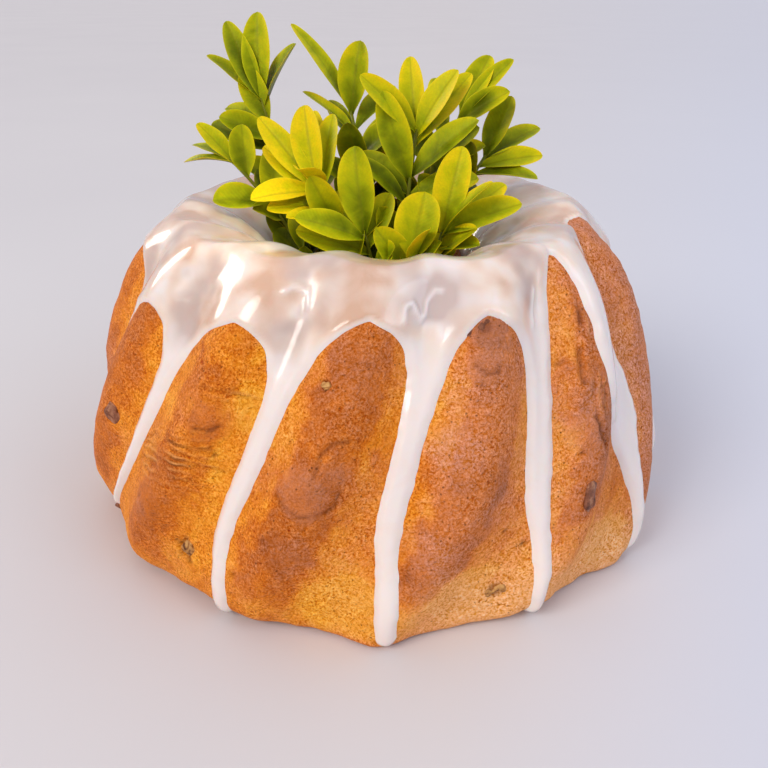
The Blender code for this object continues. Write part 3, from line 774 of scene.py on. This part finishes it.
LEAF_WIDENING = 1.06  # a blade's width, as a share of the one in the table
LEAF_THICKNESS = 0.4 * MM
LEAF_FOLD = 0.36
LEAF_CURL = 22.0  # degrees
LEAF_NECK = 0.55 * MM
FILLER_PAIRS = 4
CROWDED_PAIRS = 6
FILLER_GAP = 8.5  # millimetres up the stem from pair to pair
LOWEST_FILLER = 70.0  # millimetres above the base
FIRST_SPRIG_SEED = 100
LEAF_VALUES = ("edge", "along", "vein", "half", "stem", "ripe", "tint")


def stem_point(plan, share):
    lean = share ** plan.bend
    (foot_x, foot_y), (tip_x, tip_y, tip_z) = plan.foot, plan.tip
    return Vector((
        (foot_x + (tip_x - foot_x) * lean) * MM,
        (foot_y + (tip_y - foot_y) * lean) * MM,
        FOOT_HEIGHT + (tip_z * MM - FOOT_HEIGHT) * share,
    ))


def leaf_axes(direction_deg, rise_deg, to_light):
    """Unit vectors along a blade, out of its upper face and across it."""
    direction, rise = math.radians(direction_deg), math.radians(rise_deg)
    outward = Vector((math.sin(direction), -math.cos(direction), 0.0))
    ahead = outward * math.cos(rise) + Vector((0, 0, math.sin(rise)))
    inward_face = Vector((0, 0, math.cos(rise))) - outward * math.sin(rise)
    lit_face = (LIGHT - ahead * LIGHT.dot(ahead)).normalized()
    face = inward_face.lerp(lit_face, to_light).normalized()
    return np.array(ahead), np.array(face), np.array(ahead.cross(face))


def leaf_outline(share, roundness):
    """Half width along a spoon-shaped blade with a rounded tip, as a share of the widest."""
    rising = np.sin(math.pi / 2 * np.clip(share / LEAF_WIDEST, 0, 1)) ** 0.95
    past = np.clip((share - LEAF_WIDEST) / (1 - LEAF_WIDEST), 0, 1)
    return np.where(share < LEAF_WIDEST, rising, np.sqrt(1 - past ** roundness))


def leaf_blade(plan, leaf, rng):
    """Points, faces and values of one thin closed blade."""
    up_stem, direction, rise, length, width, to_light = leaf
    ahead, face, side = leaf_axes(direction, rise, to_light)
    length, width = length * MM, width * MM * LEAF_WIDENING
    base = np.array(stem_point(plan, min(up_stem, TOP_LEAF_SHARE))) - ahead * STEM_RADIUS * 0.4
    curl = math.radians(LEAF_CURL * rng.uniform(0.7, 1.4))
    twist, cup = rng.uniform(-0.16, 0.16), LEAF_FOLD * rng.uniform(0.7, 1.5)
    wave, phase = rng.uniform(0.1, 0.45) * MM, rng.uniform(0, 6.28)
    # s runs up the blade from 0 to 1, and u across it from -1 to 1
    s, u = np.meshgrid(
        1 - (1 - np.linspace(0, 1, LEAF_ROWS)) ** 1.5,
        np.sin(np.linspace(-1, 1, LEAF_COLUMNS + 1) * math.pi / 2), indexing="ij")
    roundness = 1.55 + 3.2 * max(width / length - 0.25, 0)
    half = np.maximum(width / 2 * leaf_outline(s, roundness), LEAF_NECK * (1 - s ** 6))
    turn = (twist * s)[..., None]
    face_here = face * np.cos(turn) + side * np.sin(turn)
    side_here = side * np.cos(turn) - face * np.sin(turn)
    middle = base + ahead * (length * s)[..., None] - face * (length * s * np.sin(curl * s) / 2)[..., None]
    # cupped, with a groove along the midrib and waves along the edges; a rib stands out underneath
    lift = half * cup * np.abs(u) ** 1.3 - 0.22 * MM * bell(u * half, 0.5 * MM) * (1 - s)
    lift = lift + wave * u * u * np.sin(s * 9.0 + phase + 1.2 * np.sign(u)) * np.sin(math.pi * s)
    upper = middle + side_here * (half * u)[..., None] + face_here * lift[..., None]
    thick = LEAF_THICKNESS * (1 - 0.75 * np.abs(u) ** 4) * (1 - 0.6 * s ** 8)
    thick = thick + 0.35 * MM * bell(u * half, 0.45 * MM) * (1 - s)
    lower = upper - face_here * thick[..., None]
    top = np.arange(s.size).reshape(s.shape)
    under = top + s.size
    quads = grid_faces(*s.shape, 0, 0)

    def rim(line):
        return np.stack([top[line][:-1], top[line][1:], under[line][1:], under[line][:-1]], -1)

    faces = np.concatenate([
        quads, quads[:, ::-1] + s.size,
        rim(np.s_[:, 0]), rim(np.s_[:, -1])[:, ::-1], rim(np.s_[0])[:, ::-1], rim(np.s_[-1]),
    ])
    # half: which half of the blade gets painted light and which painted shade
    values = {
        "edge": np.abs(u), "along": s, "vein": (s * length - np.abs(u) * half * 0.9) / MM,
        "half": rng.choice((-1, 1)) * np.tanh(4 * u),
    }
    values = {name: np.tile(value.ravel(), 2) for name, value in values.items()}
    values["ripe"] = plan.ripe - 1.1 * (1 - up_stem) + rng.uniform(-0.08, 0.08)
    values["tint"] = rng.uniform(-1, 1)
    return np.concatenate([upper.reshape(-1, 3), lower.reshape(-1, 3)]), faces, values


def stem_tube(plan):
    """Points, faces and values of a stem with closed ends."""
    shares = np.linspace(0, 1, STEM_ROWS) ** 0.7
    spine = np.array([stem_point(plan, share) for share in shares])
    ahead = unit(np.concatenate([spine[1:], spine[-1:]]) - np.concatenate([spine[:1], spine[:-1]]))
    first = unit(np.cross(ahead, [0.0, 1.0, 0.1]))
    angle = 2 * math.pi * np.arange(STEM_SIDES)[:, None] / STEM_SIDES
    ring = first[:, None] * np.cos(angle) + np.cross(ahead, first)[:, None] * np.sin(angle)
    tube = spine[:, None] + ring * (STEM_RADIUS * (1 - STEM_TAPER * shares))[:, None, None]
    points = np.concatenate([tube.reshape(-1, 3), spine[:1], spine[-1:]])
    foot, tip = len(points) - 2, len(points) - 1
    index = np.arange(STEM_ROWS * STEM_SIDES).reshape(STEM_ROWS, STEM_SIDES)
    caps = [(foot, b, a) for a, b in zip(index[0], np.roll(index[0], -1))]
    caps += [(tip, a, b) for a, b in zip(index[-1], np.roll(index[-1], -1))]
    return points, grid_faces(STEM_ROWS, STEM_SIDES).tolist() + caps, {"stem": 1, "ripe": plan.ripe}


def filler_leaves(plan, rng):
    """Leaves lower down the stem, in pairs, which fill the inside of the tuft."""
    turn = rng.uniform(0, 360)
    height = plan.tip[2]
    crowded = plan.crowded
    start = min(plan.leaves[-1][0], 0.88 if crowded else 1.0)
    for pair in range(CROWDED_PAIRS if crowded else FILLER_PAIRS):
        share = start - (pair + 0.5) * FILLER_GAP / height
        turn += 90 + rng.uniform(-15, 15)
        if share * height < LOWEST_FILLER:
            return
        for direction in (turn, turn + 180):
            yield (share, direction, rng.uniform(44, 64), rng.uniform(20, 27), rng.uniform(9, 11.5), 0.6)


def make_sprig(plan, material, seed):
    rng = np.random.default_rng(seed)
    leaves = (*plan.leaves, *filler_leaves(plan, rng), *plan.more)
    parts = [stem_tube(plan)] + [leaf_blade(plan, leaf, rng) for leaf in leaves]
    sprig = mesh_object(plan.name + "_leaves", *join(part[:2] for part in parts), material)
    for key in LEAF_VALUES:
        store(sprig, key, np.concatenate([
            np.broadcast_to(values.get(key, 0.0), len(points)) for points, _, values in parts]))
    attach(sprig, "root")
    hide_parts(plan.name)


# --- materials ---


class Value:
    """What a node gives; adding, subtracting and multiplying values builds Math nodes."""

    def __init__(self, nodes, socket):
        self.nodes = nodes
        self.socket = socket

    def __add__(self, other):
        return self.nodes.maths("ADD", self, other)

    def __sub__(self, other):
        return self.nodes.maths("SUBTRACT", self, other)

    def __mul__(self, other):
        return self.nodes.maths("MULTIPLY", self, other)


class Nodes:
    """Short calls for building a node material.  An input takes a value, a number or a colour."""

    def __init__(self, name):
        self.material = bpy.data.materials.new(name)
        self.material.use_nodes = True
        self.tree = self.material.node_tree
        self.shader = self.tree.nodes["Principled BSDF"]

    def put(self, socket, value):
        if isinstance(value, Value):
            self.tree.links.new(value.socket, socket)
        else:
            socket.default_value = (*value, 1.0) if isinstance(value, tuple) else value

    def add(self, kind, output, inputs, **settings):
        node = self.tree.nodes.new(kind)
        for key, value in settings.items():
            setattr(node, key, value)
        for key, value in inputs.items():
            self.put(node.inputs[key], value)
        return Value(self, node.outputs[output])

    def attribute(self, name):
        return self.add("ShaderNodeAttribute", "Fac", {}, attribute_name=name)

    def texture(self, kind, output, **inputs):
        place = self.add("ShaderNodeNewGeometry", "Position", {})
        return self.add(kind, output, {"Vector": place, **inputs})

    def noise(self, scale, detail=4.0, rough=0.5, warp=0.0):
        return self.texture(
            "ShaderNodeTexNoise", "Fac", Scale=scale, Detail=detail, Roughness=rough, Distortion=warp)

    def cells(self, scale):
        return self.texture("ShaderNodeTexVoronoi", "Distance", Scale=scale)

    def maths(self, operation, a, b=0.0):
        return self.add("ShaderNodeMath", 0, {0: a, 1: b}, operation=operation)

    def ramp(self, value, *stops):
        """Colour or grey at each position along a value."""
        colours = self.add("ShaderNodeValToRGB", "Color", {"Fac": value})
        elements = colours.socket.node.color_ramp.elements
        while len(elements) < len(stops):
            elements.new(0.5)
        for element, (position, colour) in zip(elements, stops):
            element.position = position
            element.color = (*colour, 1.0) if isinstance(colour, tuple) else (colour, colour, colour, 1.0)
        return colours

    def shades(self, value, strengths):
        """A multiplier for each channel, 1 where the value is 0 and never quite black."""
        return self.add("ShaderNodeCombineColor", "Color", {
            channel: self.maths("MAXIMUM", value * strength + 1.0, 0.12)
            for channel, strength in enumerate(strengths)})

    def mix(self, share, a, b, blend_type="MIX"):
        return self.add(
            "ShaderNodeMix", 2, {"Factor": share, 6: a, 7: b}, data_type="RGBA", blend_type=blend_type)

    def bump(self, height, distance, strength=1.0):
        return self.add(
            "ShaderNodeBump", "Normal", {"Height": height, "Distance": distance, "Strength": strength})

    def finish(self, **sockets):
        for name, value in sockets.items():
            self.put(self.shader.inputs[name.replace("_", " ")], value)
        return self.material


def crust_material():
    n = Nodes("baked_crust_look")
    grain = n.noise(1350.0, 2.0, 0.65, 0.4)
    crumbs = n.noise(620.0, 3.0, 0.6, 0.6)
    mottle = n.noise(210.0, 3.0, 0.6)
    brown = n.attribute("brown") + (mottle - 0.5) * 0.6 + (crumbs - 0.5) * 0.4
    colour = n.ramp(
        brown, (0.0, (1.00, 0.410, 0.032)), (0.25, (0.92, 0.295, 0.018)), (0.5, (0.74, 0.187, 0.011)),
        (0.75, (0.55, 0.138, 0.022)), (1.0, (0.38, 0.100, 0.030)))
    # pink tone, and on the right side painted cool light
    colour = n.mix(n.attribute("pink_and_cool_light") * 0.56, colour, (0.70, 0.30, 0.18))
    # painted light reflected up from below, low on the front right
    colour = n.mix(n.attribute("pale") * 0.8, colour, (1.0, 0.49, 0.185))
    # fine grain: lighter crumbs, darker gaps and scattered pores
    light = (grain - 0.5) * 2.2 + (crumbs - 0.5)
    light = light * n.ramp(n.noise(75.0, 2.0), (0.35, 0.6), (0.62, 1.1))
    light = light * n.ramp(n.attribute("skin"), (0.0, 1.0), (1.0, 0.45))
    colour = n.mix(1.0, colour, n.shades(light, (0.72, 1.31, 3.2)), "MULTIPLY")
    # the lightest crumbs are paled towards cream as well: a painted sheen
    colour = n.mix(light * 0.11, colour, (1.0, 0.74, 0.50))
    pores = n.ramp(n.cells(560.0), (0.05, 1.0), (0.2, 0.0))
    pores = pores * n.ramp(n.noise(230.0, 2.0), (0.42, 0.0), (0.6, 1.0))
    colour = n.mix(pores * 0.55, colour, (0.20, 0.060, 0.018))
    # painted shade in the bottoms of the pits and creases
    colour = n.mix(n.attribute("dark") * 0.75, colour, (0.17, 0.042, 0.015))
    # painted shade in the wrinkles' hollows and a painted highlight on their crests
    fold, wave = n.attribute("fold"), n.maths("SINE", n.attribute("phase"))
    hollow = fold * n.ramp(wave * 0.5 + 0.5, (0.0, 1.0), (0.28, 0.0))
    colour = n.mix(hollow * 0.85, colour, (0.44, 0.090, 0.016))
    colour = n.mix(fold * (wave * 0.9), colour, (1.0, 0.46, 0.15))
    height = grain * 0.7 + crumbs * 0.9 - pores * 0.6 + fold * (wave * 1.1)
    return n.finish(
        Base_Color=colour, Roughness=n.ramp(mottle, (0.3, 0.50), (0.7, 0.68)), Normal=n.bump(height, 0.0010),
        Specular_IOR_Level=0.18, Specular_Tint=(1.0, 0.72, 0.42))


def glaze_material():
    n = Nodes("sugar_glaze_look")
    show = n.attribute("show") + (n.noise(110.0, 4.0, 0.6, 0.8) - 0.5) * 0.5
    colour = n.ramp(
        show, (0.0, (0.88, 0.78, 0.73)), (0.3, (0.87, 0.71, 0.60)), (0.6, (0.81, 0.60, 0.475)),
        (1.0, (0.68, 0.43, 0.30)))
    # painted shade in the hollows between the ridges
    colour = n.mix(n.attribute("mauve_hollow_shade") * 0.8, colour, (0.55, 0.41, 0.365))
    # paler along the folds: partly thicker glaze, partly a painted highlight
    colour = n.mix(n.attribute("fold") * 0.6, colour, (0.93, 0.86, 0.83))
    return n.finish(
        Base_Color=colour, Roughness=n.ramp(n.noise(90.0, 3.0), (0.3, 0.11), (0.75, 0.26)),
        Normal=n.bump(n.noise(95.0, 3.0, 0.5, 0.6), 0.0008, 0.22),
        Subsurface_Weight=0.25, Subsurface_Scale=0.002, Coat_Weight=0.35, Coat_Roughness=0.06, IOR=1.46)


def bit_material(name, scale, warp, stops, rough, **gloss):
    """The creased skin of a raisin or a nut, darker in its creases: partly its own colour, partly painted
    shade.
    """
    n = Nodes(name)
    skin = n.noise(scale, 4.0, 0.6, warp)
    roughness = n.ramp(n.noise(300.0, 2.0), (0.3, rough), (0.7, rough + 0.2))
    return n.finish(
        Base_Color=n.ramp(skin, *stops), Roughness=roughness, Normal=n.bump(skin, 0.0006, 0.7), **gloss)


def raisin_material():
    stops = (0.3, (0.10, 0.032, 0.018)), (0.5, (0.26, 0.095, 0.052)), (0.7, (0.50, 0.24, 0.13))
    return bit_material(
        "raisin_look", 420.0, 0.5, stops, 0.4, Specular_IOR_Level=0.15, Specular_Tint=(1.0, 0.8, 0.6))


def nut_material():
    stops = (0.34, (0.11, 0.034, 0.010)), (0.47, (0.42, 0.18, 0.045)), (0.7, (0.72, 0.40, 0.13))
    return bit_material("nut_look", 520.0, 0.8, stops, 0.45, Specular_IOR_Level=0.25)


def leaf_material():
    n = Nodes("boxwood_leaf_look")
    edge = n.attribute("edge")
    patches = n.noise(120.0, 3.0, 0.55, 0.5)
    # blades are yellower along their edges and tips than beside the midrib and at their base
    tone = n.attribute("ripe") + (patches - 0.5) * 0.7 + n.maths("POWER", edge, 2.5) * 0.32
    tone = tone + (n.attribute("along") - 0.5) * 0.34
    # one half of each blade is painted lighter and the other darker: painted light and shade on its folded
    # halves
    tone = tone + n.attribute("tint") * 0.12 + n.attribute("half") * 0.07
    colour = n.ramp(
        tone, (0.0, (0.026, 0.042, 0.001)), (0.3, (0.14, 0.18, 0.001)), (0.55, (0.36, 0.395, 0.003)),
        (0.8, (0.62, 0.55, 0.003)), (1.0, (0.86, 0.62, 0.005)))
    midrib = n.ramp(edge, (0.0, 1.0), (0.16, 0.0))
    rim = n.ramp(edge, (0.9, 0.0), (0.99, 1.0))
    speckle = n.ramp(n.noise(1400.0, 2.0), (0.35, 0.12), (0.6, 0.0))
    colour = n.mix(midrib * 0.4, colour, (0.17, 0.17, 0.004))
    colour = n.mix(rim * 0.35, colour, (0.80, 0.68, 0.02))
    colour = n.mix(speckle, colour, (0.16, 0.18, 0.01))
    colour = n.mix(n.attribute("stem"), colour, (0.16, 0.17, 0.015))
    veins = n.maths("SINE", n.attribute("vein") * 4.2)
    return n.finish(
        Base_Color=colour, Roughness=n.ramp(patches, (0.3, 0.36), (0.7, 0.52)),
        Normal=n.bump(veins * 0.10 + n.noise(500.0, 3.0), 0.00025, 0.5),
        Subsurface_Weight=0.12, Subsurface_Scale=0.0015,
        Specular_IOR_Level=0.22, Specular_Tint=(1.0, 0.95, 0.28))


# --- stage and camera ---

FLOOR_REACH = 40.0
CAMERA_PLACE = (0.0, -0.300, 0.1888)
CAMERA_PITCH = 26.67  # degrees below level
CAMERA_YAW = 0.555  # degrees to the right
CAMERA_ROLL = 0.63  # degrees
CAMERA_LENS = 37.15


def make_floor():
    """A pale floor that turns bluer towards its right side: painted cool light from that side."""
    n = Nodes("pale_floor")
    colour = n.ramp(n.noise(3.0, 2.0), (0.3, (0.66, 0.635, 0.645)), (0.7, (0.68, 0.655, 0.662)))
    east, north = n.attribute("east"), n.attribute("north") + 0.3
    spread = north * north + (east * east + 0.05)
    side = n.maths("DIVIDE", east, n.maths("SQRT", spread))
    # painted cool light on the right side of the floor
    colour = n.mix(n.ramp(side, (0.08, 0.0), (0.5, 1.0)), colour, (0.62, 0.645, 0.745))
    points = np.array([[-1, -1, 0], [1, -1, 0], [1, 1, 0], [-1, 1, 0]]) * FLOOR_REACH
    floor = mesh_object("floor", points, [(0, 1, 2, 3)], n.finish(Base_Color=colour, Roughness=0.6))
    store(floor, "east", points[:, 0])
    store(floor, "north", points[:, 1])


def add_light(name, kind, place, target, colour, energy, shines=True, lights_up=True, **shape):
    """A light that may light surfaces up, shine in them as a highlight, or both."""
    lamp = bpy.data.lights.new(name, kind)
    lamp.energy = energy
    lamp.color = colour
    for key, value in shape.items():
        setattr(lamp, key, value)
    light = add_object(name, lamp)
    light.visible_diffuse = lights_up
    light.visible_glossy = shines
    light.location = place
    light.rotation_euler = (Vector(target) - Vector(place)).to_track_quat("-Z", "Y").to_euler()


def make_lights():
    world = bpy.data.worlds.new("studio")
    bpy.context.scene.world = world
    world.use_nodes = True
    background = world.node_tree.nodes["Background"]
    background.inputs["Color"].default_value = (0.88, 0.88, 1.0, 1.0)
    background.inputs["Strength"].default_value = 0.56
    foot, middle = (0, 0, 0), (0.0, 0.0, 0.08)
    add_light("key", "SUN", (-1.6, -1.5, 1.7), foot, (1.0, 0.95, 0.87), 1.62, angle=math.radians(28))
    add_light("overhead", "SUN", (0.7, 0.5, 1.6), foot, (1.0, 0.98, 0.95), 0.6, False, angle=math.radians(70))
    add_light(
        "window", "AREA", (-1.3, 0.75, 0.75), middle, (1.0, 0.92, 0.83), 8.0, True, False,
        shape="RECTANGLE", size=0.4, size_y=0.6)
    for name, place, target, colour, energy, spread in (
        ("hole_glow", (0.03, -0.32, 0.33), (-0.053, 0.004, 0.088), (1.0, 0.93, 0.66), 5.2, 8),
        ("foot_glow", (0.16, -0.60, 0.015), (0.045, -0.10, 0.006), (1.0, 0.92, 0.80), 0.8, 16),
    ):
        add_light(
            name, "SPOT", place, target, colour, energy, False,
            spot_size=math.radians(spread), spot_blend=1.0, shadow_soft_size=0.02)
    add_light(
        "fill", "AREA", (1.3, -0.9, 1.4), middle, (0.72, 0.84, 1.0), 6.0,
        shape="RECTANGLE", size=0.9, size_y=0.9)


def make_camera():
    camera = bpy.data.cameras.new("camera")
    camera.lens = CAMERA_LENS
    camera.sensor_width = 36.0
    camera.clip_start = 0.01
    camera.clip_end = 200.0
    thing = add_object("camera", camera)
    turn = (
        Matrix.Rotation(math.radians(-CAMERA_YAW), 4, "Z")
        @ Matrix.Rotation(math.radians(90 - CAMERA_PITCH), 4, "X")
        @ Matrix.Rotation(math.radians(CAMERA_ROLL), 4, "Z")
    )
    thing.matrix_world = Matrix.Translation(CAMERA_PLACE) @ turn
    bpy.context.scene.camera = thing


# --- all of it ---

make_crust()
make_glaze()
make_bits("raisins", RAISINS, 0.55, raisin_material())
make_bits("nut_bits", NUTS, 0.50, nut_material())
leaf_look = leaf_material()
for order, sprig_plan in enumerate(SPRIGS):
    make_sprig(sprig_plan, leaf_look, FIRST_SPRIG_SEED + order)
make_floor()
make_lights()
make_camera()
bpy.context.scene.view_settings.view_transform = "Standard"
